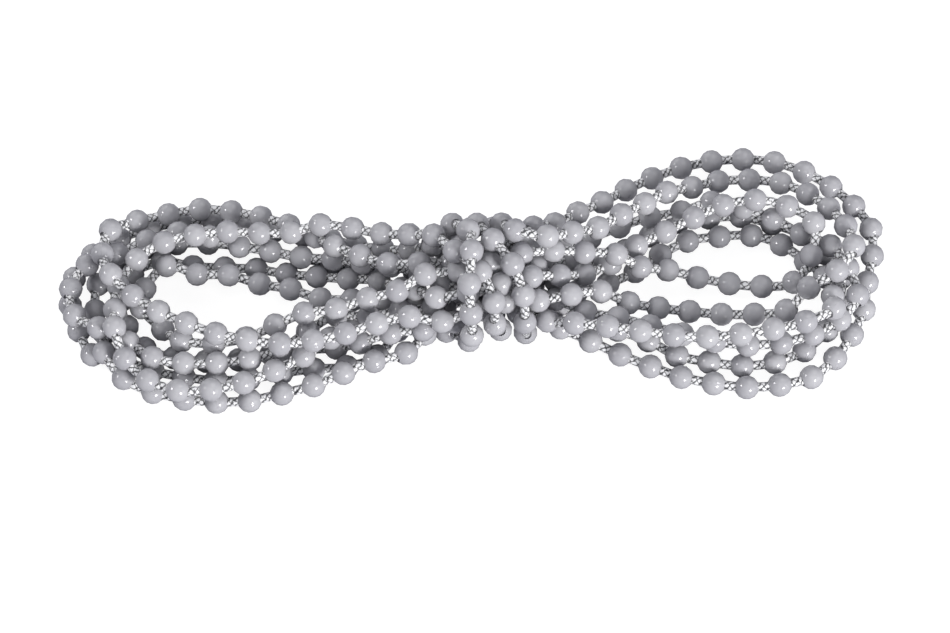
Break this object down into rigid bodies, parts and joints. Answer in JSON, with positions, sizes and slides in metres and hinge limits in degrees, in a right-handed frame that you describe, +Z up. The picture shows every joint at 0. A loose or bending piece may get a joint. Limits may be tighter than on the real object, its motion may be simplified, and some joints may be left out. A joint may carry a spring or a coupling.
{
  "type": "roller blind ball chain",
  "caption": "Endless plastic ball chain for a roller blind, folded into a hank and tied round the middle with its own turns.",
  "frame": {"origin": "middle of the hank's outline, on the surface that it lies on", "axes": "+X along the hank, towards the wide right-hand loops; +Z up"},
  "size_m": [0.1522, 0.0666, 0.0251],
  "materials": {
    "bead_plastic": "glossy grey moulded plastic balls on a whitish twisted polyester cord"
  },
  "bodies": {
    "root": {"bead_chain": "bead_plastic"}
  },
  "joints": []
}
